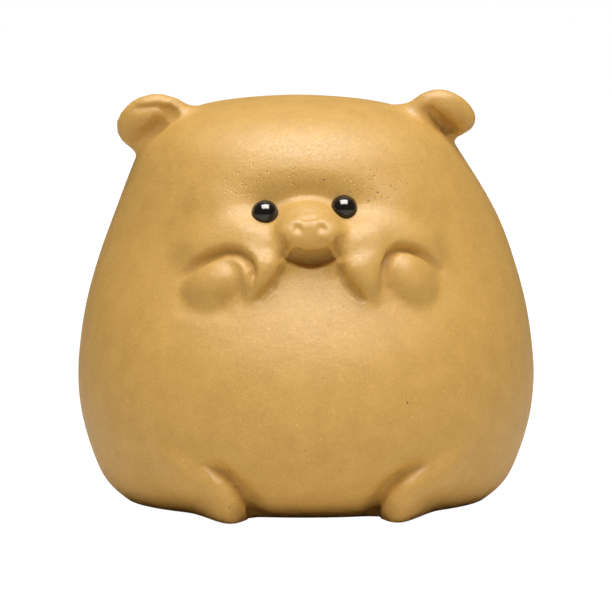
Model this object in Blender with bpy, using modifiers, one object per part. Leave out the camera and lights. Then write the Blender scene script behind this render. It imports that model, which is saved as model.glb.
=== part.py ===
# A chubby sitting pig, hand-pressed in unglazed yellow stoneware, with two glossy black bead eyes.
# The clay is one hollow piece with a vent hole in its flat base; each bead sits in its own socket.
# Metres, +Z up. The origin is the middle of the bounding box at the base, and the face looks along -Y.

import math

import bmesh
import bpy
import numpy as np
from mathutils import Matrix, Vector

# Overall size of the clay, without its ears, cheeks and snout
BODY_WIDTH = 0.0700
BODY_HEIGHT = 0.0618
BELLY_REACH = 0.0330
BACK_REACH = 0.0295

# Sections of the body from below the floor up: share of height, half width, belly reach and back reach
SECTIONS = (
    (-0.065, 0.00, 0.00, 0.00),
    (-0.060, 0.45, 0.35, 0.40),
    (-0.030, 0.700, 0.510, 0.64),
    (0.001, 0.795, 0.640, 0.76),
    (0.046, 0.880, 0.820, 0.87),
    (0.107, 0.930, 0.930, 0.94),
    (0.200, 0.980, 0.998, 0.99),
    (0.300, 1.000, 0.990, 1.00),
    (0.400, 0.987, 0.948, 0.98),
    (0.492, 0.960, 0.868, 0.95),
    (0.584, 0.915, 0.760, 0.90),
    (0.665, 0.866, 0.710, 0.85),
    (0.746, 0.804, 0.690, 0.79),
    (0.828, 0.731, 0.668, 0.72),
    (0.899, 0.655, 0.598, 0.63),
    (0.954, 0.520, 0.470, 0.48),
    (0.985, 0.320, 0.285, 0.30),
    (1.000, 0.00, 0.00, 0.00),
)

# Hollow inside, as pressed clay has to be for the kiln
WALL = 0.0055
VENT_RADIUS = 0.0077

# The head leans a little to its right between these heights
HEAD_LEAN = -0.0014
LEAN_START = 0.041
LEAN_END = 0.059

# Cheeks: a broad puff over each paw, and a jowl beside the snout that hangs over the chest
PUFF_RADII = (0.0078, 0.0056, 0.0062)
PUFF_SIDE = 0.0096
PUFF_HEIGHT = 0.0402
PUFF_PROUD = 0.0032
JOWL_RADIUS = 0.0044
JOWL_SIDE = 0.0090
JOWL_HEIGHT = 0.0372
JOWL_PROUD = 0.0042
JOWL_TOP_RADIUS = 0.0046
JOWL_TOP_SIDE = 0.0086
JOWL_TOP_HEIGHT = 0.0412
JOWL_TOP_PROUD = 0.0040
CHEEK_RUB = 0.0020

# The crease where each cheek folds over the chest, as sides and heights, and how crisp the rub leaves it
CHEEK_FOLD = ((0.0036, 0.0423), (0.0032, 0.0388), (0.0046, 0.0370), (0.0061, 0.0347), (0.0091, 0.0328))
FOLD_WIDTH = 0.0014
FOLD_DEPTH = 0.0006
FOLD_KEPT = 0.1
FOLD_NEAR = 0.0010
FOLD_FAR = 0.0040

# Mouth: a shallow curve under the snout, as sides and heights from the pig's right to its left
MOUTH = ((-0.0028, 0.0392), (-0.0015, 0.0386), (0.0000, 0.0383), (0.0014, 0.0384), (0.0029, 0.0390))
MOUTH_WIDTH = 0.0014
MOUTH_DEPTH = 0.0012

# Brow: a shallow trough across the face that the eyes lie in
BROW_HEIGHT = 0.0468
BROW_RADII = (0.0150, 0.0100, 0.0052)
BROW_DEPTH = 0.0016

# Snout: a round muzzle, and on its front a flat oval nose with two nostrils, tipped down by NOSE_TILT
MUZZLE_RADII = (0.0045, 0.0044, 0.0043)
MUZZLE_HEIGHT = 0.0425
MUZZLE_PROUD = 0.0036
NOSE_RADII = (0.0043, 0.0022)
NOSE_HEIGHT = 0.0431
NOSE_PROUD = 0.0043
NOSE_THICKNESS = 0.0030
NOSE_TILT = 14.0
NOSTRIL_RADIUS = 0.0006
NOSTRIL_SPACING = 0.0037
NOSTRIL_DEPTH = 0.0006
NOSTRIL_LIFT = 0.0008

# Bead eyes, centred between the two
BEAD_DIAMETER = 0.0040
BEAD_SEAT = 0.0003
BEAD_SUNK = 0.0002
EYE_SPACING = 0.0116
EYE_MIDDLE = -0.0008
EYE_HEIGHT = 0.0458
EYE_TILT = 0.0003

# Paws: egg shapes lying in sockets beside the cheeks, with their tips up and inwards
PAW_RADII = (0.0060, 0.0036, 0.0039)
PAW_SIDE = 0.0146
PAW_HEIGHT = 0.0349
PAW_PROUD = 0.0024
PAW_ANGLES = (34.0, 46.0)
PAW_SWING = 10.0
SOCKET_RADII = (0.0058, 0.0040, 0.0043)
SOCKET_IN = 0.0007
SOCKET_UP = 0.0007
SOCKET_DEPTH = 0.0024

# Feet: the body steps out round a crease, more towards the toes, and the step fades into the hips.
# The crease is given as sides and heights from the hip to the toe.
FOOT_CREASE = (
    (0.0174, 0.0092),
    (0.0154, 0.0085),
    (0.0129, 0.0072),
    (0.0109, 0.0055),
    (0.0097, 0.0036),
    (0.0094, 0.0019),
    (0.0093, 0.0009),
)
HIP_STEP = 0.0004
TOE_STEP = 0.0030
FOOT_RISE = 0.0015
FOOT_RUN = 0.0120

# Ears: rounded flaps on the corners of the head, tipped forwards and scooped out at the front.
# Each has its own length, place inside the widest part and under the top, droop and rim, right ear first.
EAR_LENGTHS = (0.0077, 0.0069)
EAR_INSETS = (0.0146, 0.0141)
EAR_DROPS = (0.0049, 0.0039)
EAR_DROOPS = (8.0, 6.0)
EAR_RIMS = (
    ((-90, 0.60), (-43, 0.74), (-28, 0.80), (-5, 0.94), (9, 0.96), (25, 0.91), (46, 0.86), (98, 0.72), (180, 0.75)),
    ((-90, 0.55), (-55, 0.60), (-38, 0.65), (-13, 0.77), (3, 0.99), (16, 0.93), (39, 0.84), (97, 0.76), (180, 0.76)),
)
EAR_THICKNESS = 0.0050
EAR_DEPTH = -0.0030
EAR_TIP = 22.0
EAR_SCOOP = 0.0034
EAR_SCOOP_PLACE = (-0.1, -0.2)
EAR_SCOOP_RADII = (0.0062, 0.0060, 0.0046)

# Where two pieces of clay meet, the seam is rubbed over this radius, and the sockets' rims a little more
SEAM_RUB = 0.0007
SOCKET_RUB = 0.0009
FORM_KEPT = 0.15

# Modelling grain: the grid that fuses the clay, and the triangles that the finished clay keeps
CLAY_GRID = 0.0006
CLAY_TRIANGLES = 8400

CLAY_COLOUR = (0.62, 0.40, 0.13, 1.0)
BEAD_COLOUR = (0.012, 0.010, 0.010, 1.0)


def clear_scene():
    for obj in list(bpy.data.objects):
        bpy.data.objects.remove(obj)


def new_collection(name):
    collection = bpy.data.collections.new(name)
    bpy.context.scene.collection.children.link(collection)
    return collection


def move_to(collection, obj):
    for holder in list(obj.users_collection):
        holder.objects.unlink(obj)
    collection.objects.link(obj)


def material(name, colour, roughness):
    made = bpy.data.materials.new(name)
    made.use_nodes = True
    shader = made.node_tree.nodes["Principled BSDF"]
    shader.inputs["Base Color"].default_value = colour
    shader.inputs["Roughness"].default_value = roughness
    shader.inputs["Metallic"].default_value = 0.0
    return made


def points_of(obj, what="co"):
    points = np.empty(len(obj.data.vertices) * 3)
    obj.data.vertices.foreach_get(what, points)
    return points.reshape(-1, 3)


def set_points(obj, points):
    obj.data.vertices.foreach_set("co", points.ravel())
    obj.data.update()


def new_object(name, shape):
    mesh = bpy.data.meshes.new(name)
    shape.to_mesh(mesh)
    shape.free()
    obj = bpy.data.objects.new(name, mesh)
    bpy.context.scene.collection.objects.link(obj)
    return obj


def ball(name, radii, place, turn=None, segments=32, rings=16):
    """An ellipsoid: a sphere stretched to its radii, turned, and set in its place."""
    shape = bmesh.new()
    bmesh.ops.create_uvsphere(shape, u_segments=segments, v_segments=rings, radius=1.0)
    stretch = Matrix.Diagonal((*radii, 1.0))
    spin = turn.to_4x4() if turn else Matrix.Identity(4)
    shape.transform(Matrix.Translation(place) @ spin @ stretch)
    return new_object(name, shape)


def roll(name, start, start_radius, end, end_radius):
    """A tapered roll of clay with round ends."""
    shape = bmesh.new()
    for place, radius in ((start, start_radius), (end, end_radius)):
        where = Matrix.Translation(place)
        bmesh.ops.create_uvsphere(shape, u_segments=24, v_segments=12, radius=radius, matrix=where)
    skin = bmesh.ops.convex_hull(shape, input=shape.verts)
    bmesh.ops.delete(shape, geom=skin["geom_interior"], context="VERTS")
    return new_object(name, shape)


def smooth_step(value):
    value = np.clip(value, 0.0, 1.0)
    return value * value * (3.0 - 2.0 * value)


def through(rows, share):
    """A smooth curve through the rows, at a share of the way from the first to the last."""
    rows = np.array(rows)
    place = np.clip(share, 0.0, 1.0) * (len(rows) - 1)
    start = np.minimum(place.astype(int), len(rows) - 2)
    t = (place - start)[:, None]
    last = len(rows) - 1
    p0, p1 = rows[np.maximum(start - 1, 0)], rows[start]
    p2, p3 = rows[start + 1], rows[np.minimum(start + 2, last)]
    return 0.5 * (
        2 * p1
        + (p2 - p0) * t
        + (2 * p0 - 5 * p1 + 4 * p2 - p3) * t**2
        + (3 * p1 - p0 - 3 * p2 + p3) * t**3
    )


def egg(name, inset, segments, rings):
    """The bare body: a sphere whose rings take the sections' sizes, less an inset all round."""
    obj = ball(name, (1.0, 1.0, 1.0), (0, 0, 0), None, segments, rings)
    unit = points_of(obj)
    section = through(SECTIONS, 1.0 - np.arccos(np.clip(unit[:, 2], -1, 1)) / math.pi)
    flat = np.linalg.norm(unit[:, :2], axis=1)
    side = unit[:, :2] / np.maximum(flat, 1e-9)[:, None] * (flat > 1e-6)[:, None]
    height = np.minimum(section[:, 0] * BODY_HEIGHT, BODY_HEIGHT - inset)
    if inset > 0:
        height = np.maximum(height, inset)
    half_width = np.maximum(section[:, 1] * BODY_WIDTH / 2 - inset, 0)
    front = np.maximum(section[:, 2] * BELLY_REACH - inset, 0)
    back = np.maximum(section[:, 3] * BACK_REACH - inset, 0)
    depth = np.where(side[:, 1] < 0, front, back)
    set_points(obj, np.column_stack((side[:, 0] * half_width, side[:, 1] * depth, height)))
    return obj


def seat(obj, side, height):
    """The point of the surface that is in front at this side and height, and its outward normal."""
    far = Vector((side, -1.0, height))
    hit, place, normal, _ = obj.ray_cast(far, Vector((0, 1, 0)))
    if not hit:
        raise ValueError(f"nothing of {obj.name} is at {side}, {height}")
    return place, normal


def apply_modifiers(obj):
    graph = bpy.context.evaluated_depsgraph_get()
    mesh = bpy.data.meshes.new_from_object(obj.evaluated_get(graph))
    obj.modifiers.clear()
    obj.data = mesh


def fuse(obj, others):
    """Presses the pieces into one closed skin on an even grid."""
    shape = bmesh.new()
    for piece in (obj, *others):
        shape.from_mesh(piece.data)
    shape.to_mesh(obj.data)
    shape.free()
    for piece in others:
        bpy.data.objects.remove(piece)
    grid = obj.modifiers.new("grid", "REMESH")
    grid.mode = "VOXEL"
    grid.voxel_size = CLAY_GRID
    apply_modifiers(obj)


def soften(obj, radius, weights=None):
    """Rubs the clay smooth over about this radius, less where the weights are low."""
    rub = obj.modifiers.new("rub", "SMOOTH")
    rub.factor = 0.5
    rub.iterations = max(1, round(4 * (radius / CLAY_GRID) ** 2))
    if weights is not None:
        group = obj.vertex_groups.new(name="rubbed")
        for index, weight in enumerate(weights):
            group.add([index], float(weight), "REPLACE")
        rub.vertex_group = group.name
    apply_modifiers(obj)
    obj.vertex_groups.clear()


def press(obj, place, radii, push):
    """Moves the clay near a point by push, fading out to nothing at the radii."""
    points = points_of(obj)
    reach = np.linalg.norm((points - np.array(place)) / np.array(radii), axis=1)
    set_points(obj, points + smooth_step(1.0 - reach)[:, None] * np.array(push))


def distance_to_path(points, path):
    nearest = np.full(len(points), np.inf)
    for start, end in zip(path[:-1], path[1:]):
        start, end = np.array(start), np.array(end)
        along = end - start
        t = np.clip((points - start) @ along / (along @ along), 0, 1)
        nearest = np.minimum(nearest, np.linalg.norm(points - start - t[:, None] * along, axis=1))
    return nearest


def dig(obj, path, width, depth):
    """Presses a groove into the clay along a path, fading out at the width."""
    points, normals = points_of(obj), points_of(obj, "normal")
    push = depth * smooth_step(1.0 - distance_to_path(points, path) / width)
    set_points(obj, points - normals * push[:, None])


def terrace(obj, path, hand):
    """Steps the clay out on the outer side of a path, more towards its end, and fades the step away from it."""
    points, normals = points_of(obj), points_of(obj, "normal")
    nearest = np.full(len(points), np.inf)
    along = np.zeros(len(points))
    outer = np.zeros(len(points))
    for index, (start, end) in enumerate(zip(path[:-1], path[1:])):
        start, end = np.array(start), np.array(end)
        line = end - start
        t = np.clip((points - start) @ line / (line @ line), 0, 1)
        distance = np.linalg.norm(points - start - t[:, None] * line, axis=1)
        side = line[0] * (points[:, 2] - start[2]) - line[2] * (points[:, 0] - start[0])
        closer = distance < nearest
        nearest[closer] = distance[closer]
        along[closer] = (index + t[closer]) / (len(path) - 1)
        outer[closer] = np.sign(hand * side[closer])
    step = HIP_STEP + (TOE_STEP - HIP_STEP) * smooth_step(1.1 * along)
    out = nearest * outer
    shape = smooth_step((out + FOOT_RISE / 2) / FOOT_RISE) * (1 - smooth_step(out / FOOT_RUN))
    set_points(obj, points + normals * (step * shape * (points[:, 1] < 0))[:, None])


def combine(obj, other, operation):
    joined = obj.modifiers.new(operation.lower(), "BOOLEAN")
    joined.operation = operation
    joined.object = other
    apply_modifiers(obj)
    bpy.data.objects.remove(other)


def lean_at(height):
    return HEAD_LEAN * smooth_step((height - LEAN_START) / (LEAN_END - LEAN_START))


def facing(normal):
    """The turn about the upright that takes the front to where the normal points."""
    return Matrix.Rotation(math.atan2(normal.x, -normal.y), 3, "Z")


def behind(bare, side, height, radius, proud):
    """The centre of a ball of this radius that stands out of the bare body by proud."""
    place, _ = seat(bare, side, height)
    return place + Vector((0, radius - proud, 0))


def add_cheeks(bare):
    made = []
    for hand in (-1, 1):
        place, normal = seat(bare, hand * PUFF_SIDE, PUFF_HEIGHT)
        puff = place + normal * (PUFF_PROUD - PUFF_RADII[1])
        made.append(ball("puff", PUFF_RADII, puff, facing(normal)))
        top = behind(bare, hand * JOWL_TOP_SIDE, JOWL_TOP_HEIGHT, JOWL_TOP_RADIUS, JOWL_TOP_PROUD)
        jowl = behind(bare, hand * JOWL_SIDE, JOWL_HEIGHT, JOWL_RADIUS, JOWL_PROUD)
        made.append(roll("jowl", top, JOWL_TOP_RADIUS, jowl, JOWL_RADIUS))
    return made


def fold_paths(obj):
    """The lines on the clay where the cheeks fold over the chest."""
    return [[seat(obj, hand * side, height)[0] for side, height in CHEEK_FOLD] for hand in (-1, 1)]


def add_snout(bare):
    muzzle = behind(bare, 0, MUZZLE_HEIGHT, MUZZLE_RADII[1], MUZZLE_PROUD)
    shape = bmesh.new()
    bmesh.ops.create_cone(shape, cap_ends=True, segments=32, radius1=1.0, radius2=1.0, depth=NOSE_THICKNESS)
    stretch = Matrix.Diagonal((*NOSE_RADII, 1.0, 1.0))
    turn = Matrix.Rotation(math.radians(90 + NOSE_TILT), 4, "X")
    nose = behind(bare, 0, NOSE_HEIGHT, NOSE_THICKNESS / 2, NOSE_PROUD)
    shape.transform(Matrix.Translation(nose) @ turn @ stretch)
    return [ball("muzzle", MUZZLE_RADII, muzzle), new_object("nose", shape)]


def add_feet(body, bare):
    for hand in (-1, 1):
        terrace(body, [seat(bare, hand * side, height)[0] for side, height in FOOT_CREASE], hand)


def add_ears():
    made = []
    each = zip((-1, 1), EAR_LENGTHS, EAR_INSETS, EAR_DROPS, EAR_DROOPS, EAR_RIMS)
    for hand, length, inset, drop, droop, outline in each:
        angles, shares = zip(*outline)
        ear = ball("ear", (1.0, 1.0, 1.0), (0, 0, 0))
        unit = points_of(ear)
        angle = np.degrees(np.arctan2(unit[:, 2], unit[:, 0])) + droop
        rim = length * np.interp(np.where(angle < -90, angle + 360, angle), angles, shares)
        points = unit * np.column_stack((rim, np.full(len(rim), EAR_THICKNESS / 2), rim))
        set_points(ear, points * np.array((hand, 1, 1)))
        scoop = (hand * EAR_SCOOP_PLACE[0] * length, -EAR_THICKNESS / 2, EAR_SCOOP_PLACE[1] * length)
        press(ear, scoop, EAR_SCOOP_RADII, (0, EAR_SCOOP, 0))
        where = Matrix.Translation((hand * (BODY_WIDTH / 2 - inset), EAR_DEPTH, BODY_HEIGHT - drop))
        ear.data.transform(where @ Matrix.Rotation(math.radians(EAR_TIP), 4, "X"))
        if hand < 0:
            ear.data.flip_normals()
        made.append(ear)
    return made


def draw_strokes(body):
    """The mouth, and the creases under the cheeks."""
    dig(body, [seat(body, side, height)[0] for side, height in MOUTH], MOUTH_WIDTH, MOUTH_DEPTH)
    for path in fold_paths(body):
        dig(body, path, FOLD_WIDTH, FOLD_DEPTH)


def paw_turn(hand, normal):
    angle = PAW_ANGLES[0] if hand < 0 else PAW_ANGLES[1]
    tilt = Matrix.Rotation(math.radians(hand * angle), 3, "Y")
    return Matrix.Rotation(math.radians(hand * PAW_SWING), 3, "Z") @ facing(normal) @ tilt


def add_paws(body, bare):
    for hand in (-1, 1):
        place, normal = seat(bare, hand * PAW_SIDE, PAW_HEIGHT)
        turn = paw_turn(hand, normal)
        deep = PAW_RADII[1]
        shift = turn @ Vector((-hand * SOCKET_IN, 0, SOCKET_UP))
        socket = place + shift + normal * (deep - SOCKET_DEPTH)
        combine(body, ball("socket", SOCKET_RADII, socket, turn), "DIFFERENCE")
        combine(body, ball("paw", PAW_RADII, place + normal * (PAW_PROUD - deep), turn), "UNION")


def off_folds(points, bare):
    """The share of the rub for each point: little at the cheeks' folds, so that they stay crisp."""
    apart = np.minimum(*(distance_to_path(points, path) for path in fold_paths(bare)))
    far = (apart - FOLD_NEAR) / (FOLD_FAR - FOLD_NEAR)
    return FOLD_KEPT + (1 - FOLD_KEPT) * smooth_step(far)


def near_paws(points, bare):
    """The share of the rub for each point: all of it round the paws and their sockets, little elsewhere."""
    paws = [seat(bare, hand * PAW_SIDE, PAW_HEIGHT)[0] for hand in (-1, 1)]
    apart = np.minimum(*(np.linalg.norm(points - paw, axis=1) for paw in paws))
    long = PAW_RADII[0]
    return FORM_KEPT + (1 - FORM_KEPT) * smooth_step((2.2 * long - apart) / long)


def lean(obj):
    points = points_of(obj)
    points[:, 0] += lean_at(points[:, 2])
    set_points(obj, points)


def make_form(bare):
    """The outside of the clay, from the floor and below it up."""
    body = egg("clay_body", 0.0, 96, 60)
    fuse(body, add_cheeks(bare))
    soften(body, CHEEK_RUB, off_folds(points_of(body), bare))
    trough, _ = seat(bare, 0, BROW_HEIGHT)
    press(body, trough, BROW_RADII, (0, BROW_DEPTH, 0))
    add_feet(body, bare)
    fuse(body, [*add_snout(bare), *add_ears()])
    soften(body, SEAM_RUB)
    draw_strokes(body)
    add_paws(body, bare)
    fuse(body, [])
    soften(body, SOCKET_RUB, near_paws(points_of(body), bare))
    lean(body)
    return body


def thin_out(body):
    """Leaves the clay with CLAY_TRIANGLES, closest where it bends most."""
    body.data.calc_loop_triangles()
    fewer = body.modifiers.new("fewer", "DECIMATE")
    fewer.ratio = CLAY_TRIANGLES / len(body.data.loop_triangles)
    apply_modifiers(body)


def block_below(level):
    shape = bmesh.new()
    bmesh.ops.create_cube(shape, size=4 * BODY_WIDTH)
    shape.transform(Matrix.Translation((0, 0, level - 2 * BODY_WIDTH)))
    return new_object("below", shape)


def hollow_out(body):
    cavity = egg("cavity", WALL, 28, 18)
    lean(cavity)
    combine(body, cavity, "DIFFERENCE")
    shape = bmesh.new()
    where = Matrix.Translation((0, 0, WALL / 2))
    bmesh.ops.create_cone(
        shape, cap_ends=True, segments=24, radius1=VENT_RADIUS, radius2=VENT_RADIUS, depth=3 * WALL, matrix=where
    )
    combine(body, new_object("vent", shape), "DIFFERENCE")


def eye_places(body):
    places = []
    for hand in (-1, 1):
        side = EYE_MIDDLE + hand * EYE_SPACING / 2
        clay, _ = seat(body, side, EYE_HEIGHT + hand * EYE_TILT)
        places.append(clay + Vector((0, BEAD_SUNK, 0)))
    return places


def nostril_places(body):
    middle = lean_at(NOSE_HEIGHT)
    sides = (middle - NOSTRIL_SPACING / 2, middle + NOSTRIL_SPACING / 2)
    return [seat(body, side, NOSE_HEIGHT + NOSTRIL_LIFT)[0] for side in sides]


def settle(pieces):
    """Moves the pieces together, so that the origin is under the middle of the clay."""
    points = points_of(pieces[0])
    middle = (points.min(axis=0) + points.max(axis=0)) / 2
    for piece in pieces:
        piece.data.transform(Matrix.Translation((-middle[0], -middle[1], 0)))


def main():
    clear_scene()
    bare = egg("bare", 0.0, 72, 44)
    clay = make_form(bare)
    bpy.data.objects.remove(bare)
    nostrils = nostril_places(clay)
    eyes = eye_places(clay)
    thin_out(clay)
    combine(clay, block_below(0.0), "DIFFERENCE")
    hollow_out(clay)
    radius = BEAD_DIAMETER / 2
    for place in nostrils:
        dent = ball("dent", (NOSTRIL_RADIUS, NOSTRIL_DEPTH, NOSTRIL_RADIUS), place, None, 12, 8)
        combine(clay, dent, "DIFFERENCE")
    pieces = [clay]
    for name, place in zip(("right_eye_bead", "left_eye_bead"), eyes):
        reach = radius + BEAD_SEAT
        combine(clay, ball("socket", (reach, reach, reach), place, None, 24, 12), "DIFFERENCE")
        pieces.append(ball(name, (radius, radius, radius), place, None, 20, 12))
    settle(pieces)
    clay.data.materials.append(material("yellow_stoneware", CLAY_COLOUR, 0.6))
    black = material("black_bead", BEAD_COLOUR, 0.08)
    for bead in pieces[1:]:
        bead.data.materials.append(black)
    pig = new_collection("pig_figurine")
    for piece in pieces:
        move_to(pig, piece)
        piece.data.shade_smooth()


main()
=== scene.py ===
import math

import bmesh
import bpy
import numpy as np
from mathutils import Matrix, Vector


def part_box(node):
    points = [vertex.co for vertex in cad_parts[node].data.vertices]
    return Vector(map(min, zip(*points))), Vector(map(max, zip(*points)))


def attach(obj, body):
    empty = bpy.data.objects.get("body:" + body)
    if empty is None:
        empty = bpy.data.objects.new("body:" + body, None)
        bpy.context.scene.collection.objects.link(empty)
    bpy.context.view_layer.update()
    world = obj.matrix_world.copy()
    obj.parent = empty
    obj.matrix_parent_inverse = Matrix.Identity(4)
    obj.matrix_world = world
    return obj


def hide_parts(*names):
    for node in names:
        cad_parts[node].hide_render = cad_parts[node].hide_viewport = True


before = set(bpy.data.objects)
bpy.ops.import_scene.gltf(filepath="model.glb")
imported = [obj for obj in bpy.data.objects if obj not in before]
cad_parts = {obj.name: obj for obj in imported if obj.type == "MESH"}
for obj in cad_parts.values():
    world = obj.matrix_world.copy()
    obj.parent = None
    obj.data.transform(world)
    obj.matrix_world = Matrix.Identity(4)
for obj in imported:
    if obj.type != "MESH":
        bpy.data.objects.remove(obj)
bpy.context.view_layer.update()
bpy.ops.object.select_all(action="DESELECT")
print("frame loaded")


def workOn(obj):
    if bpy.context.object and bpy.context.object.mode != "OBJECT":
        bpy.ops.object.mode_set(mode="OBJECT")
    bpy.ops.object.select_all(action="DESELECT")
    obj.select_set(True)
    bpy.context.view_layer.objects.active = obj


def pointsOf(obj, what="co"):
    flat = np.empty(len(obj.data.vertices) * 3)
    obj.data.vertices.foreach_get(what, flat)
    return flat.reshape(-1, 3)


def setPoints(obj, points):
    obj.data.vertices.foreach_set("co", points.ravel())
    obj.data.update()


def fade(value):
    value = np.clip(value, 0, 1)
    return value * value * (3 - 2 * value)


def addBall(name, radii, place, turn=None, segments=32, rings=16):
    spin = (turn or Matrix.Identity(3)).to_euler()
    bpy.ops.mesh.primitive_uv_sphere_add(segments=segments, ring_count=rings, radius=1, location=place,
                                         rotation=spin, scale=radii)
    made = bpy.context.object
    made.name = name
    bpy.ops.object.transform_apply(location=True, rotation=True, scale=True)
    return made


def joinAll(name, pieces):
    workOn(pieces[0])
    for piece in pieces[1:]:
        piece.select_set(True)
    if len(pieces) > 1:
        bpy.ops.object.join()
    pieces[0].name = name
    return pieces[0]


def addRoll(name, start, startRadius, end, endRadius):  # a tapered roll of clay with round ends
    ends = [addBall(name, (radius,) * 3, place, None, 24, 12)
            for place, radius in ((start, startRadius), (end, endRadius))]
    roll = joinAll(name, ends)
    bpy.ops.object.mode_set(mode="EDIT")
    bpy.ops.mesh.select_all(action="SELECT")
    bpy.ops.mesh.convex_hull()
    bpy.ops.object.mode_set(mode="OBJECT")
    return roll


def kneadTogether(pieces, grid):  # one closed skin over all of the pieces
    whole = joinAll(pieces[0].name, pieces)
    bpy.ops.object.modifier_add(type="REMESH")
    remesh = whole.modifiers[-1]
    remesh.mode = "VOXEL"
    remesh.voxel_size = grid
    bpy.ops.object.modifier_apply(modifier=remesh.name)
    return whole


def rubSmooth(obj, radius, grid, weights=None):  # weights: how much of the rub each point takes
    workOn(obj)
    bpy.ops.object.modifier_add(type="SMOOTH")
    rub = obj.modifiers[-1]
    rub.factor = 0.5
    rub.iterations = max(1, round(4 * (radius / grid) ** 2))
    if weights is not None:
        group = obj.vertex_groups.new(name="rubbed")
        steps = np.round(np.clip(weights, 0, 1) * 20).astype(int)
        for step in range(1, 21):
            chosen = np.flatnonzero(steps == step)
            if len(chosen):
                group.add(chosen.tolist(), step / 20, "REPLACE")
        rub.vertex_group = group.name
    bpy.ops.object.modifier_apply(modifier=rub.name)
    obj.vertex_groups.clear()


def carve(obj, cutter, solver="MANIFOLD"):
    workOn(obj)
    bpy.ops.object.modifier_add(type="BOOLEAN")
    cut = obj.modifiers[-1]
    cut.operation = "DIFFERENCE"
    cut.solver = solver
    cut.object = cutter
    before = len(obj.data.vertices)
    bpy.ops.object.modifier_apply(modifier=cut.name)
    if obj.modifiers or len(obj.data.vertices) == before:
        raise ValueError(f"{cutter.name} didn't cut {obj.name}")
    bpy.data.objects.remove(cutter)


def frontOf(obj, side, height):  # where a line from straight in front meets the clay, and the way it faces
    hit, place, normal, face = obj.ray_cast(Vector((side, -1, height)), Vector((0, 1, 0)))
    if not hit:
        raise ValueError(f"nothing of {obj.name} is at {side}, {height}")
    return place, normal


def alongPath(points, path):  # each point's distance from a chain of places, its way along it, and its side
    path = [np.array(place) for place in path]
    nearest, along, side = np.full(len(points), np.inf), np.zeros(len(points)), np.ones(len(points))
    for index, (start, end) in enumerate(zip(path[:-1], path[1:])):
        line = end - start
        share = np.clip((points - start) @ line / max(line @ line, 1e-12), 0, 1)
        distance = np.linalg.norm(points - start - share[:, None] * line, axis=1)
        turned = line[0] * (points[:, 2] - start[2]) - line[2] * (points[:, 0] - start[0])
        closer = distance < nearest
        nearest[closer] = distance[closer]
        along[closer] = (index + share[closer]) / (len(path) - 1)
        side[closer] = np.where(turned[closer] > 0, 1, -1)
    return nearest, along, side


def groove(obj, path, widths, depth, ends=(0, 0), rolled=False):  # widths: on the left and right of the path
    points, normals = pointsOf(obj), pointsOf(obj, "normal")
    distance, along, side = alongPath(points, path)
    near = np.clip(1 - distance / np.where(side > 0, *widths), 0, 1)
    push = depth * (near**2 if rolled else fade(near))
    if ends[0]:
        push *= fade(along / ends[0])
    if ends[1]:
        push *= fade((1 - along) / ends[1])
    setPoints(obj, points - normals * push[:, None])


def throughRows(rows, share):  # a smooth curve through rows of numbers
    rows = np.array(rows, float)
    place = np.clip(share, 0, 1) * (len(rows) - 1)
    start = np.minimum(place.astype(int), len(rows) - 2)
    t = (place - start)[:, None]
    a, b = rows[np.maximum(start - 1, 0)], rows[start]
    c, d = rows[start + 1], rows[np.minimum(start + 2, len(rows) - 1)]
    return 0.5 * (2 * b + (c - a) * t + (2 * a - 5 * b + 4 * c - d) * t**2 + (3 * b - a - 3 * c + d) * t**3)


studio = {
    "target": (0, 0.00175, 0.0293), "azimuth": -1.5, "elevation": 6.5, "distance": 0.6,
    "lens": 230.47, "sensor": 36,
    "boxAzimuth": 4, "boxElevation": 69,
    "boxDistance": 0.60, "boxSize": (0.64, 0.56), "boxPower": 6.0,
    "sheenDistance": 0.59, "sheenSize": (0.50, 0.38), "sheenPower": 10.0,  # only gloss shows this light
    "fill": 0.11, "paper": 0.86, "paperRadius": 1.6, "paperGlow": 1.15,
    "paperWhite": 0.88,     # how much of the paper's shadows are washed out where the camera sees them
}


def fromTarget(azimuth, elevation, distance):
    a, e = math.radians(azimuth), math.radians(elevation)
    way = Vector((math.sin(a) * math.cos(e), -math.cos(a) * math.cos(e), math.sin(e)))
    return Vector(studio["target"]) + way * distance, (-way).to_track_quat("-Z", "Y")


camera = bpy.data.objects.new("camera", bpy.data.cameras.new("camera"))
bpy.context.scene.collection.objects.link(camera)
camera.location, turn = fromTarget(studio["azimuth"], studio["elevation"], studio["distance"])
camera.rotation_euler = turn.to_euler()
camera.data.lens = studio["lens"]
camera.data.sensor_width = studio["sensor"]
camera.data.clip_start = 0.01
bpy.context.scene.camera = camera
frameSize = 612             # the picture is this many pixels wide and high


def atPixel(obj, x, y):  # where the camera's line through a pixel of the picture meets the clay
    middle = frameSize / 2
    sight = Vector(((x - middle) / frameSize, (middle - y) / frameSize,
                    -camera.data.lens / camera.data.sensor_width))
    hit, place, normal, face = obj.ray_cast(camera.location, camera.rotation_euler.to_matrix() @ sight)
    if not hit:
        raise ValueError(f"nothing of {obj.name} is at pixel {x}, {y}")
    return place


def alongPixels(obj, pixels):
    return [atPixel(obj, *pixel) for pixel in pixels]


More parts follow.
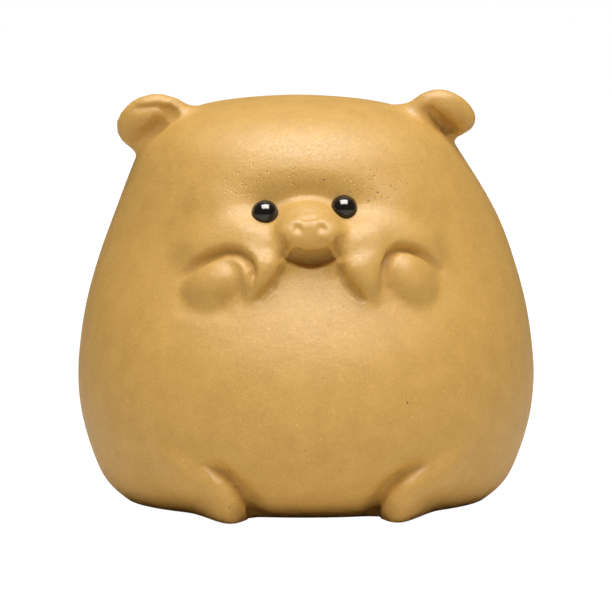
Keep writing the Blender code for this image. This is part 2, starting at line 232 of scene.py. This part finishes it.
bodyShape = {
    "width": 0.0700, "height": 0.0618, "belly": 0.0330, "back": 0.0295,
    "wall": 0.0055, "vent": 0.0077,
    "forward": 0.00175,     # how far the frame's origin is in front of the middle of the rings
    "lean": -0.0014, "leanFrom": 0.041, "leanTo": 0.059,
    "sections": (           # share of the height, half width, belly reach, back reach
        (-0.065, 0.00, 0.00, 0.00), (-0.060, 0.45, 0.35, 0.40), (-0.030, 0.700, 0.510, 0.64),
        (0.001, 0.795, 0.640, 0.76), (0.046, 0.880, 0.820, 0.87), (0.107, 0.930, 0.930, 0.94),
        (0.200, 0.980, 0.998, 0.99), (0.300, 1.000, 0.990, 1.00), (0.400, 0.987, 0.948, 0.98),
        (0.492, 0.960, 0.868, 0.95), (0.584, 0.915, 0.776, 0.90), (0.665, 0.866, 0.710, 0.85),
        (0.746, 0.804, 0.690, 0.79), (0.828, 0.731, 0.668, 0.72), (0.899, 0.655, 0.598, 0.63),
        (0.954, 0.520, 0.470, 0.48), (0.985, 0.320, 0.285, 0.30), (1.000, 0.00, 0.00, 0.00)),
    "grid": 0.00060,        # the grid of the first kneading
    "fineGrid": 0.00058,    # the grid of the finished skin
    "rub": 0.0007,          # how far that skin is rubbed smooth after each kneading
    "strokeRub": (0.00025, 0.00029),  # the last rubs, and the spacing of the points on the face
}


def addEgg(name, inset, segments, rings):  # a sphere whose rings are resized to the sections, less an inset
    bpy.ops.mesh.primitive_uv_sphere_add(segments=segments, ring_count=rings, radius=1, location=(0, 0, 0))
    egg = bpy.context.object
    egg.name = name
    bpy.ops.object.mode_set(mode="EDIT")
    bpy.ops.mesh.select_mode(type="VERT")
    levels = sorted({round(v.co.z, 5) for v in bmesh.from_edit_mesh(egg.data).verts})
    shares = 1 - np.arccos(np.clip(levels, -1, 1)) / math.pi
    sizes = throughRows(bodyShape["sections"], shares)
    mesh = bmesh.from_edit_mesh(egg.data)
    ringOf = {}
    for vert in mesh.verts:
        ringOf.setdefault(round(vert.co.z, 5), []).append((vert.index, vert.co.y <= 1e-6))

    def pick(level, fronts):
        mesh = bmesh.from_edit_mesh(egg.data)
        mesh.verts.ensure_lookup_table()
        for vert in mesh.verts:
            vert.select = False
        for index, front in ringOf[level]:
            mesh.verts[index].select = front in fronts
        mesh.select_flush_mode()

    for level, (share, half, belly, back) in zip(levels, sizes):
        height = min(share * bodyShape["height"], bodyShape["height"] - inset)
        if inset:
            height = max(height, inset)
        radius = math.sqrt(max(1 - level * level, 0))
        middle = (0, 0, level)
        if radius > 0.001:
            half = max(half * bodyShape["width"] / 2 - inset, 1e-5) / radius
            belly = max(belly * bodyShape["belly"] - inset, 1e-5) / radius
            back = max(back * bodyShape["back"] - inset, 1e-5) / radius
            pick(level, (True,))
            bpy.ops.transform.resize(value=(half, belly, 1), center_override=middle)
            pick(level, (False,))
            bpy.ops.transform.resize(value=(half, back, 1), center_override=middle)
        pick(level, (True, False))
        bpy.ops.transform.translate(value=(0, 0, height - level))
    bpy.ops.object.mode_set(mode="OBJECT")
    return egg


def leanOver(obj):  # the head leans a little to one side
    points = pointsOf(obj)
    low, high = bodyShape["leanFrom"], bodyShape["leanTo"]
    points[:, 0] += bodyShape["lean"] * fade((points[:, 2] - low) / (high - low))
    setPoints(obj, points)


def slide(obj, share):  # share 1: from the middle of the rings to the frame's place, -1: back again
    obj.data.transform(Matrix.Translation((0, share * bodyShape["forward"], 0)))


def facing(normal):  # the turn about the upright that takes the front to where the normal points
    return Matrix.Rotation(math.atan2(normal.x, -normal.y), 3, "Z")


def terrace(obj, path, hand, thickness, rise, run):  # raises the clay on the outer side of a path
    points, normals = pointsOf(obj), pointsOf(obj, "normal")
    distance, along, side = alongPath(points, path)
    outward = distance * side * hand
    lift = thickness[0] + (thickness[1] - thickness[0]) * fade(along * 1.1)
    profile = (1 - (1 - np.clip(outward / rise, 0, 1))**2) * (1 - fade(outward / run))
    setPoints(obj, points + normals * (lift * profile * (points[:, 1] < 0))[:, None])


def press(obj, place, radii, push):  # moves the clay near a place, fading out at the radii
    points = pointsOf(obj)
    reach = np.linalg.norm((points - np.array(place)) / np.array(radii), axis=1)
    setPoints(obj, points + fade(1 - reach)[:, None] * np.array(push))


def overhang(obj, path, lifts, rise, run, ends, middle):  # a round roll of clay along the left of a path
    points = pointsOf(obj)
    distance, along, side = alongPath(points, path)
    roll = 1 - (1 - np.clip(distance / rise, 0, 1))**2
    push = lifts[0] + (lifts[1] - lifts[0]) * fade((abs(along - 0.5) - middle[0]) / (middle[1] - middle[0]))
    push = push * roll * (1 - fade(distance / run)) * (side > 0)
    push *= fade(along / ends) * fade((1 - along) / ends)
    points[:, 1] -= push * (points[:, 1] < 0)
    setPoints(obj, points)


bareEgg = addEgg("bareEgg", 0, 96, 60)
print("egg shaped")

faceShape = {
    "puffRadii": (0.0108, 0.0056, 0.0068), "puffSide": 0.0108, "puffHeight": 0.0402, "puffProud": 0.0026,
    "jowlRadius": 0.0044, "jowlSide": 0.0090, "jowlHeight": 0.0376, "jowlProud": 0.0024,
    "jowlTopRadius": 0.0046, "jowlTopSide": 0.0086, "jowlTopHeight": 0.0412, "jowlTopProud": 0.0032,
    "fold": ((0.0036, 0.0423), (0.0035, 0.0387), (0.0058, 0.0345), (0.0096, 0.0327)),
    "cheekRub": 0.0020, "foldKept": (0.0010, 0.0030),
    "browHeight": 0.0468, "browRadii": (0.0130, 0.0100, 0.0052), "browDepth": 0.0016,
    "temple": (0.0135, 0.0466), "templeRadii": (0.0065, 0.0100, 0.0045), "templeProud": 0.0008,
    "muzzleRadii": (0.0050, 0.0040, 0.0034), "muzzleHeight": 0.0440, "muzzleProud": 0.0026,
    "noseRadii": (0.0054, 0.0042, 0.0029), "noseHeight": 0.0430, "noseProud": 0.0050,
    "noseFlat": 0.0040, "noseRound": 0.25,  # how far out the nose is flattened, and how round it stays
    "chestEdge": ((242, 306), (250, 304), (262, 299), (274, 288), (284, 274), (290, 263.5), (299, 263.5),
                  (310, 265), (321, 264), (332, 263), (338, 276), (346, 288), (359, 299), (374, 305),
                  (383, 307)),
    "chestRoll": {          # how far the cheeks and lip overhang that edge, least over the middle of it
        "lifts": (0.0004, 0.0030), "rise": 0.0036, "run": 0.0090, "ends": 0.15, "middle": (0.10, 0.22)},
}
pawShape = {             # the pig's right paw first
    "radii": (0.0058, 0.0036, 0.0038), "sides": (0.0149, 0.0152), "heights": (0.0350, 0.0354),
    "proud": 0.0022, "angles": (32, 50), "swing": 12,
}
footShape = {
    "creases": (((197, 464), (210, 469), (225, 478), (239, 491), (247, 503), (250, 513), (251, 519)),
                ((434, 462), (421, 468), (402, 479), (388, 491), (380, 503), (378, 513), (377, 519))),
    "thickness": (0.0015, 0.0041), "rise": 0.0026, "run": 0.0100,
}
earShape = {
    "lengths": (0.0077, 0.0069), "sides": (0.0204, 0.0209), "heights": (0.0569, 0.0579), "droops": (8, 6),
    "rims": (               # angle, share of the length
        ((-90, 0.60), (-43, 0.74), (-28, 0.80), (-5, 0.94), (9, 0.96), (25, 0.91), (46, 0.86),
         (98, 0.72), (180, 0.75)),
        ((-90, 0.55), (-55, 0.60), (-38, 0.65), (-13, 0.77), (3, 0.99), (16, 0.93), (39, 0.84),
         (97, 0.76), (180, 0.76))),
    "rimSteps": (-12, -6, 0, 6, 12),  # the rims are averaged over these angles
    "thickness": 0.0050, "depth": -0.0030, "tip": 22,
    "junctions": ((-0.0163, -0.0030, 0.0595), (0.0168, -0.0030, 0.0602)),  # where the ears meet the head
    "junctionReach": 0.0060, "junctionRub": 0.0016,
    "saddles": ((-0.0160, -0.0022, 0.0580), (0.0163, -0.0022, 0.0586)),    # balls fill the notches there
    "saddleRadii": (0.0024, 0.0022),
    "scoop": 0.0034, "scoopPlace": (-0.1, -0.2), "scoopRadii": (0.0062, 0.0060, 0.0046),
}


def behind(side, height, radius, proud):  # the middle of a ball that stands out of the egg by proud
    place, normal = frontOf(bareEgg, side, height)
    return place + Vector((0, radius - proud, 0))


def addCheeks():
    shape, made = faceShape, []
    for hand in (-1, 1):
        place, normal = frontOf(bareEgg, hand * shape["puffSide"], shape["puffHeight"])
        puff = place + normal * (shape["puffProud"] - shape["puffRadii"][1])
        made.append(addBall("puff", shape["puffRadii"], puff, facing(normal)))
        top, low = (behind(hand * shape[end + "Side"], shape[end + "Height"], shape[end + "Radius"],
                           shape[end + "Proud"]) for end in ("jowlTop", "jowl"))
        made.append(addRoll("jowl", top, shape["jowlTopRadius"], low, shape["jowlRadius"]))
    return made


def offFolds(points):  # little rubbing at the folds, so that they stay crisp
    near = []
    for hand in (-1, 1):
        path = [frontOf(bareEgg, hand * side, height)[0] for side, height in faceShape["fold"]]
        near.append(alongPath(points, path)[0])
    kept, over = faceShape["foldKept"]
    return 0.1 + 0.9 * fade((np.minimum(*near) - kept) / over)


def addSnout():  # a round muzzle, and the flat nose on its front
    shape, made = faceShape, []
    for name in ("muzzle", "nose"):
        radii = shape[name + "Radii"]
        made.append(addBall(name, radii, behind(0, shape[name + "Height"], radii[1], shape[name + "Proud"])))
    nose = made[-1]
    points = pointsOf(nose)
    flat = frontOf(bareEgg, 0, shape["noseHeight"])[0].y - shape["noseFlat"]
    proud = np.minimum(points[:, 1] - flat, 0)
    points[:, 1] += (shape["noseRound"] - 1) * proud
    setPoints(nose, points)
    return made


def addFeet(obj):  # the legs: raised outside their creases, and fading into the hips
    shape = footShape
    for hand, pixels in zip((-1, 1), shape["creases"]):
        terrace(obj, alongPixels(obj, pixels), hand, shape["thickness"], shape["rise"], shape["run"])


def addEars():
    shape, made = earShape, []
    ears = zip((-1, 1), *(shape[what] for what in ("lengths", "sides", "heights", "droops", "rims")))
    for hand, length, side, height, droop, outline in ears:
        angles, lengths = zip(*outline)
        ear = addBall("ear", (1, 1, 1), (0, 0, 0), None, 48, 24)
        unit = pointsOf(ear)
        angle = np.degrees(np.arctan2(unit[:, 2], unit[:, 0])) + droop
        angle = np.where(angle < -90, angle + 360, angle)
        rims = [np.interp(angle + step, angles, lengths, period=360) for step in shape["rimSteps"]]
        rim = length * sum(rims) / len(rims)
        points = unit * np.column_stack((rim, np.full(len(rim), shape["thickness"] / 2), rim))
        setPoints(ear, points * np.array((hand, 1, 1)))
        across, up = shape["scoopPlace"]
        scoop = (hand * across * length, -shape["thickness"] / 2, up * length)
        press(ear, scoop, shape["scoopRadii"], (0, shape["scoop"], 0))
        where = Matrix.Translation((hand * side, shape["depth"], height))
        ear.data.transform(where @ Matrix.Rotation(math.radians(shape["tip"]), 4, "X"))
        if hand < 0:
            ear.data.flip_normals()
        made.append(ear)
    for place, radius in zip(shape["saddles"], shape["saddleRadii"]):
        made.append(addBall("saddle", (radius,) * 3, place))
    return made


def addPaws():
    shape, made = pawShape, []
    long, deep, wide = shape["radii"]
    for hand, angle, side, height in zip((-1, 1), shape["angles"], shape["sides"], shape["heights"]):
        place, normal = frontOf(bareEgg, hand * side, height)
        turn = Matrix.Rotation(math.radians(hand * shape["swing"]), 3, "Z") @ facing(normal)
        turn = turn @ Matrix.Rotation(math.radians(hand * angle), 3, "Y")
        made.append(addBall("paw", shape["radii"], place + normal * (shape["proud"] - deep), turn, 48, 24))
    return made


def apartFrom(points, places):  # the distance from each point to the nearest of the places
    return np.min([np.linalg.norm(points - np.array(place), axis=1) for place in places], axis=0)


def nearEars(points):
    return fade(1 - apartFrom(points, earShape["junctions"]) / earShape["junctionReach"])


def nearPaws(points):  # all of the rub near the paws, and little of it elsewhere
    paws = [frontOf(bareEgg, hand * side, height)[0]
            for hand, side, height in zip((-1, 1), pawShape["sides"], pawShape["heights"])]
    long = pawShape["radii"][0]
    return 0.15 + 0.85 * fade((2.2 * long - apartFrom(points, paws)) / long)


grid, fineGrid = bodyShape["grid"], bodyShape["fineGrid"]
bpy.ops.object.select_all(action="DESELECT")
clay = addEgg("pigClay", 0, 96, 60)
clay = kneadTogether([clay, *addCheeks()], grid)
rubSmooth(clay, faceShape["cheekRub"], grid, offFolds(pointsOf(clay)))
trough, normal = frontOf(bareEgg, 0, faceShape["browHeight"])
press(clay, trough, faceShape["browRadii"], (0, faceShape["browDepth"], 0))
for hand in (-1, 1):
    temple, normal = frontOf(bareEgg, hand * faceShape["temple"][0], faceShape["temple"][1])
    press(clay, temple, faceShape["templeRadii"], (0, -faceShape["templeProud"], 0))
slide(clay, 1)
addFeet(clay)
slide(clay, -1)
clay = kneadTogether([clay, *addSnout(), *addEars()], fineGrid)
rubSmooth(clay, bodyShape["rub"], fineGrid)
slide(clay, 1)
overhang(clay, alongPixels(clay, faceShape["chestEdge"]), **faceShape["chestRoll"])
slide(clay, -1)
clay = kneadTogether([clay, *addPaws()], fineGrid)
rubSmooth(clay, bodyShape["rub"], fineGrid, nearPaws(pointsOf(clay)))
rubSmooth(clay, earShape["junctionRub"], fineGrid, nearEars(pointsOf(clay)))
leanOver(clay)
print("clay kneaded:", len(clay.data.vertices), "points")

beadShape = {"diameter": 0.0040, "gap": 0.00004}
beadMiddles = {}
for name in ("right_eye_bead", "left_eye_bead"):
    low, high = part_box(name)
    beadMiddles[name] = (low + high) / 2

slide(clay, 1)

# each stroke: pixels along it, widths on the left and right, depth, share of each end that fades
foldMarks = {            # where rolls of clay meet
    "foldRight": (((287, 263), (284, 274), (274, 288), (262, 299), (250, 304)),
                  (0.0005, 0.0026), 0.0009, (0.1, 0.35)),
    "foldLeft": (((335, 263), (338, 276), (346, 288), (359, 299), (375, 304)),
                 (0.0028, 0.0005), 0.0011, (0.1, 0.35)),
    "cheekRight": (((283, 234), (284, 246), (287, 259)), (0.0012, 0.0018), 0.0012, (0.4, 0.1)),
    "cheekLeft": (((339, 234), (338, 246), (335, 259)), (0.0018, 0.0012), 0.0012, (0.4, 0.1)),
    "rightEar": (((183, 113), (176, 117), (165, 126), (152, 140), (144, 150)),
                 (0.0005, 0.0030), 0.0010, (0.3, 0.4)),
    "rightEarEdge": (((129, 110), (137, 107), (146, 105.5), (158, 105), (169, 106.5), (179, 112)),
                     (0.0004, 0.0020), 0.0006, (0.3, 0.1)),
    "rightFoot": (footShape["creases"][0], (0.0038, 0.0006), 0.0016, (0.3, 0.05)),
    "leftFoot": (footShape["creases"][1], (0.0006, 0.0038), 0.0016, (0.3, 0.05)),
    "leftEar": (((419, 109), (428, 114), (437, 122), (445, 131), (449, 137)),
                (0.0030, 0.0005), 0.0009, (0.3, 0.1)),
}
pressMarks = {           # pressed with a tool: a negative depth raises the clay
    "mouth": (((285, 257), (291, 261), (299, 263), (310, 265), (321, 264), (330, 261), (336, 257)),
              (0.0028, 0.0006), 0.0021, (0.08, 0.08)),
    "grooveRight": (((173, 290), (183, 276), (195, 264), (209, 256), (224, 251), (237, 252), (247, 259),
                     (252, 270), (252, 284), (246, 299)), (0.0012, 0.0013), 0.0015, (0.35, 0.25)),
    "grooveLeft": (((385, 297), (384, 282), (387, 266), (392, 255), (400, 249), (412, 250), (425, 256),
                    (440, 270), (448, 282)), (0.0013, 0.0008), 0.0015, (0.3, 0.35)),
    "underPaw": (((176, 292), (186, 303), (203, 309), (222, 306), (238, 298)),
                 (0.0034, 0.0030), 0.0003, (0.3, 0.3)),
    "rightToe": (((204, 476), (219, 485), (232, 498), (240, 509)), (0.0014, 0.0030), -0.0006, (0.3, 0.3)),
    "leftToe": (((427, 475), (409, 486), (395, 498), (387, 510)), (0.0030, 0.0014), -0.0004, (0.3, 0.3)),
    "noseTop": (((298, 219.5), (309, 218), (322, 217.5)), (0.0010, 0.0008), 0.0003, (0.3, 0.3)),
    "nostrilRight": (((297, 227), (298, 229)), (0.0009, 0.0009), 0.0005, (0, 0)),
    "nostrilLeft": (((321.5, 226.5), (322.5, 228.5)), (0.0009, 0.0009), 0.0005, (0, 0)),
    "bumpRight": (((296, 238), (299, 239)), (0.0012, 0.0012), -0.0002, (0, 0)),
    "bumpLeft": (((324, 237), (327, 237)), (0.0012, 0.0012), -0.0002, (0, 0)),
    "earNickRight": (((158, 104), (166, 112), (171, 120)), (0.0006, 0.0006), 0.0004, (0.3, 0.3)),
    "earNickRightLow": (((151, 112), (158, 120), (160, 128)), (0.0006, 0.0006), 0.0003, (0.3, 0.3)),
    "earNickLeft": (((428, 103), (434, 111), (444, 118)), (0.0006, 0.0006), 0.0004, (0.3, 0.3)),
}


fineParts = {            # low corner and high corner, in side and height, of the parts that need finer faces
    "face": ((-0.0225, 0.0310), (0.0235, 0.0495)),
    "rightEar": ((-0.0310, 0.0500), (-0.0150, 0.0640)),
    "leftEar": ((0.0150, 0.0500), (0.0300, 0.0640)),
    "rightFoot": ((-0.0180, -0.0010), (-0.0070, 0.0100)),
    "leftFoot": ((0.0070, -0.0010), (0.0190, 0.0100)),
}


def refine(obj):  # one more cut through the faces of those parts, so that the strokes have points to move
    workOn(obj)
    bpy.ops.object.mode_set(mode="EDIT")
    bpy.ops.mesh.select_mode(type="FACE")
    mesh = bmesh.from_edit_mesh(obj.data)
    for face in mesh.faces:
        x, y, z = face.calc_center_median()
        face.select = y < 0 and any(low[0] < x < high[0] and low[1] < z < high[1]
                                    for low, high in fineParts.values())
    mesh.select_flush_mode()
    bpy.ops.mesh.subdivide(number_cuts=1)
    bpy.ops.object.mode_set(mode="OBJECT")


refine(clay)
rubSmooth(clay, *bodyShape["strokeRub"])
for marks, rolled in ((foldMarks, True), (pressMarks, False)):
    for pixels, widths, depth, ends in marks.values():
        groove(clay, alongPixels(clay, pixels), widths, depth, ends, rolled)
rubSmooth(clay, *bodyShape["strokeRub"])
print("face marked")

bpy.ops.mesh.primitive_cube_add(size=0.2, location=(0, 0, -0.1))
bpy.ops.object.transform_apply(location=True, rotation=True, scale=True)
carve(clay, bpy.context.object)
cavity = addEgg("cavity", bodyShape["wall"], 48, 32)
leanOver(cavity)
slide(cavity, 1)
carve(clay, cavity)
bpy.ops.mesh.primitive_cylinder_add(vertices=64, radius=bodyShape["vent"], depth=3 * bodyShape["wall"],
                                    location=(0, bodyShape["forward"], bodyShape["wall"] / 2))
vent = bpy.context.object
bpy.ops.object.transform_apply(location=True, rotation=True, scale=True)
reach = beadShape["diameter"] / 2 + beadShape["gap"]
seats = [addBall("seat", (reach,) * 3, middle, None, 48, 24) for middle in beadMiddles.values()]
carve(clay, joinAll("holes", [vent, *seats]))
bpy.data.objects.remove(bareEgg)
workOn(clay)
bpy.ops.object.shade_smooth_by_angle(angle=math.radians(55))
clay.data.calc_loop_triangles()
print("clay hollowed:", len(clay.data.loop_triangles), "triangles")

beads = []
for name, middle in beadMiddles.items():
    pieceName = name.replace("_", " ").title().replace(" ", "")
    bead = addBall(pieceName, (beadShape["diameter"] / 2,) * 3, middle, None, 64, 32)
    bpy.ops.object.shade_smooth()
    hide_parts(name)
    beads.append(bead)


def newMaterial(name):
    made = bpy.data.materials.new(name)
    made.use_nodes = True
    nodes, links = made.node_tree.nodes, made.node_tree.links
    return made, nodes, links, nodes["Principled BSDF"]


clayLook = {
    "light": (0.61, 0.350, 0.082, 1), "dark": (0.47, 0.255, 0.047, 1), "specular": 0.34,
    "rough": (0.46, 0.64), "sparkle": (1900, 0.17, 0.008), "sparkleGloss": 0.2,
    "specks": (             # scale of the cells, size, share, colour
        (3200, 0.30, 0.06, (0.72, 0.45, 0.14, 1)), (1900, 0.17, 0.008, (0.92, 0.76, 0.48, 1)),
        (1900, 0.20, 0.02, (0.22, 0.12, 0.04, 1)), (500, 0.09, 0.03, (0.06, 0.035, 0.02, 1))),
    "sandDepth": 0.00005, "swellDepth": 0.00008,
    "pitted": (             # middle and radii of the egg-shaped places over the brow
        ((0.0100, -0.0190, 0.0492), (0.0085, 0.0080, 0.0042)),
        ((-0.0060, -0.0190, 0.0500), (0.0095, 0.0080, 0.0036))),
    "pits": (2000, 0.40, 0.25), "pitDepth": 0.00010,
}


def makeClay():
    made, nodes, links, shader = newMaterial("sandyStoneware")
    where = nodes.new("ShaderNodeTexCoord")

    def noise(scale, detail, roughness=0.5):
        node = nodes.new("ShaderNodeTexNoise")
        node.inputs["Scale"].default_value = scale
        node.inputs["Detail"].default_value = detail
        node.inputs["Roughness"].default_value = roughness
        links.new(where.outputs["Object"], node.inputs["Vector"])
        return node.outputs["Fac"]

    def grains(scale):
        node = nodes.new("ShaderNodeTexVoronoi")
        node.inputs["Scale"].default_value = scale
        links.new(where.outputs["Object"], node.inputs["Vector"])
        return node

    def remap(value, low, high, toLow=0, toHigh=1):
        node = nodes.new("ShaderNodeMapRange")
        node.inputs["From Min"].default_value = low
        node.inputs["From Max"].default_value = high
        node.inputs["To Min"].default_value = toLow
        node.inputs["To Max"].default_value = toHigh
        links.new(value, node.inputs["Value"])
        return node.outputs["Result"]

    def maths(kind, a, b):
        node = nodes.new("ShaderNodeMath")
        node.operation = kind
        for socket, value in zip(node.inputs, (a, b)):
            if isinstance(value, (int, float)):
                socket.default_value = value
            else:
                links.new(value, socket)
        return node.outputs[0]

    def mixColour(factor, a, b, kind="MIX"):
        node = nodes.new("ShaderNodeMix")
        node.data_type = "RGBA"
        node.blend_type = kind
        for socket, value in ((node.inputs["Factor"], factor), (node.inputs[6], a), (node.inputs[7], b)):
            if isinstance(value, (int, float, tuple)):
                socket.default_value = value
            else:
                links.new(value, socket)
        return node.outputs[2]

    def specks(scale, size, share):  # sparse grains: a share of the cells, each a dot of this size
        cells = grains(scale)
        apart = nodes.new("ShaderNodeSeparateColor")
        links.new(cells.outputs["Color"], apart.inputs["Color"])
        chosen = maths("LESS_THAN", apart.outputs[0], share)
        dot = remap(cells.outputs["Distance"], size, size * 0.6)
        return maths("MULTIPLY", chosen, dot)

    def patch(middle, size):  # 1 at the middle of an egg-shaped place, 0 outside it
        shift, stretch, length = (nodes.new("ShaderNodeVectorMath") for step in range(3))
        shift.operation, stretch.operation, length.operation = "SUBTRACT", "DIVIDE", "LENGTH"
        shift.inputs[1].default_value = middle
        stretch.inputs[1].default_value = size
        links.new(where.outputs["Object"], shift.inputs[0])
        links.new(shift.outputs[0], stretch.inputs[0])
        links.new(stretch.outputs[0], length.inputs[0])
        return remap(length.outputs["Value"], 1.0, 0.4)

    mottle = remap(noise(260, 4, 0.6), 0.35, 0.65)
    grain = remap(noise(3800, 3, 0.7), 0.30, 0.70)
    colour = mixColour(maths("ADD", maths("MULTIPLY", mottle, 0.35), maths("MULTIPLY", grain, 0.65)),
                       clayLook["dark"], clayLook["light"])
    for scale, size, share, tone in clayLook["specks"]:
        colour = mixColour(specks(scale, size, share), colour, tone)
    links.new(colour, shader.inputs["Base Color"])
    sparkle = maths("MULTIPLY", specks(*clayLook["sparkle"]), clayLook["sparkleGloss"])
    rough = maths("SUBTRACT", remap(noise(2600, 2), 0.3, 0.7, *clayLook["rough"]), sparkle)
    links.new(rough, shader.inputs["Roughness"])
    sand = maths("MULTIPLY", noise(2600, 4, 0.65), clayLook["sandDepth"])
    height = maths("ADD", sand, maths("MULTIPLY", noise(700, 2), clayLook["swellDepth"]))
    for middle, size in clayLook["pitted"]:
        pits = maths("MULTIPLY", specks(*clayLook["pits"]), clayLook["pitDepth"])
        height = maths("SUBTRACT", height, maths("MULTIPLY", patch(middle, size), pits))
    bump = nodes.new("ShaderNodeBump")
    bump.inputs["Strength"].default_value = 0.8
    bump.inputs["Distance"].default_value = 1.0
    links.new(height, bump.inputs["Height"])
    links.new(bump.outputs["Normal"], shader.inputs["Normal"])
    shader.inputs["Specular IOR Level"].default_value = clayLook["specular"]
    return made


beadLook = {
    "colour": (0.008, 0.006, 0.005, 1), "rough": (0.02, 0.05), "specular": 0.5, "tint": (1, 0.93, 0.86, 1),
}


def makeBead():
    made, nodes, links, shader = newMaterial("blackBead")
    where = nodes.new("ShaderNodeTexCoord")
    cloud = nodes.new("ShaderNodeTexNoise")
    cloud.inputs["Scale"].default_value = 900
    links.new(where.outputs["Object"], cloud.inputs["Vector"])
    ramp = nodes.new("ShaderNodeMapRange")
    ramp.inputs["To Min"].default_value, ramp.inputs["To Max"].default_value = beadLook["rough"]
    links.new(cloud.outputs["Fac"], ramp.inputs["Value"])
    links.new(ramp.outputs["Result"], shader.inputs["Roughness"])
    shader.inputs["Base Color"].default_value = beadLook["colour"]
    shader.inputs["Specular IOR Level"].default_value = beadLook["specular"]
    shader.inputs["Specular Tint"].default_value = beadLook["tint"]
    return made


clay.data.materials.clear()
clay.data.materials.append(makeClay())
blackBead = makeBead()
for bead in beads:
    bead.data.materials.append(blackBead)
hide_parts("clay_body")
for piece in (clay, *beads):
    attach(piece, "root")
print("materials made")


def addSoftBox(name, size, power, distance):
    made = bpy.data.objects.new(name, bpy.data.lights.new(name, "AREA"))
    bpy.context.scene.collection.objects.link(made)
    made.location, turn = fromTarget(studio["boxAzimuth"], studio["boxElevation"], distance)
    made.rotation_euler = turn.to_euler()
    made.data.shape = "RECTANGLE"
    made.data.size, made.data.size_y = size
    made.data.energy = power
    return made


addSoftBox("softBox", studio["boxSize"], studio["boxPower"], studio["boxDistance"])
sheenBox = addSoftBox("sheenBox", studio["sheenSize"], studio["sheenPower"], studio["sheenDistance"])
sheenBox.visible_diffuse = False

world = bpy.data.worlds.new("studio")
bpy.context.scene.world = world
world.use_nodes = True
worldNodes, worldLinks = world.node_tree.nodes, world.node_tree.links
room = worldNodes["Background"]                          # a dim room lights the pig
room.inputs["Color"].default_value = (1, 1, 1, 1)
room.inputs["Strength"].default_value = studio["fill"]
whiteWall = worldNodes.new("ShaderNodeBackground")       # what shows behind it is white
whiteWall.inputs["Color"].default_value = (1, 1, 1, 1)
lightPath = worldNodes.new("ShaderNodeLightPath")
wallMix = worldNodes.new("ShaderNodeMixShader")
worldLinks.new(lightPath.outputs["Is Camera Ray"], wallMix.inputs["Fac"])
worldLinks.new(room.outputs["Background"], wallMix.inputs[1])
worldLinks.new(whiteWall.outputs["Background"], wallMix.inputs[2])
worldLinks.new(wallMix.outputs["Shader"], worldNodes["World Output"].inputs["Surface"])


def makePaper():
    made, nodes, links, shader = newMaterial("paper")
    shader.inputs["Base Color"].default_value = (studio["paper"],) * 3 + (1,)
    shader.inputs["Roughness"].default_value = 0.9
    bright = nodes.new("ShaderNodeEmission")
    bright.inputs["Strength"].default_value = studio["paperGlow"]
    path, share, mix = (nodes.new("ShaderNode" + kind) for kind in ("LightPath", "Math", "MixShader"))
    share.operation = "MULTIPLY"
    share.inputs[1].default_value = studio["paperWhite"]
    links.new(path.outputs["Is Camera Ray"], share.inputs[0])
    links.new(share.outputs[0], mix.inputs["Fac"])
    links.new(shader.outputs["BSDF"], mix.inputs[1])
    links.new(bright.outputs["Emission"], mix.inputs[2])
    links.new(mix.outputs["Shader"], nodes["Material Output"].inputs["Surface"])
    return made


def makeFloor():  # a round sheet of pale paper
    bpy.ops.mesh.primitive_circle_add(vertices=128, radius=studio["paperRadius"], fill_type="NGON")
    floor = bpy.context.object
    floor.name = "paperFloor"
    bpy.ops.object.mode_set(mode="EDIT")
    bpy.ops.mesh.inset(thickness=studio["paperRadius"] / 2)
    bpy.ops.object.mode_set(mode="OBJECT")
    floor.data.materials.append(makePaper())
    return floor


makeFloor()
bpy.context.scene.view_settings.view_transform = "Standard"
print("studio set")
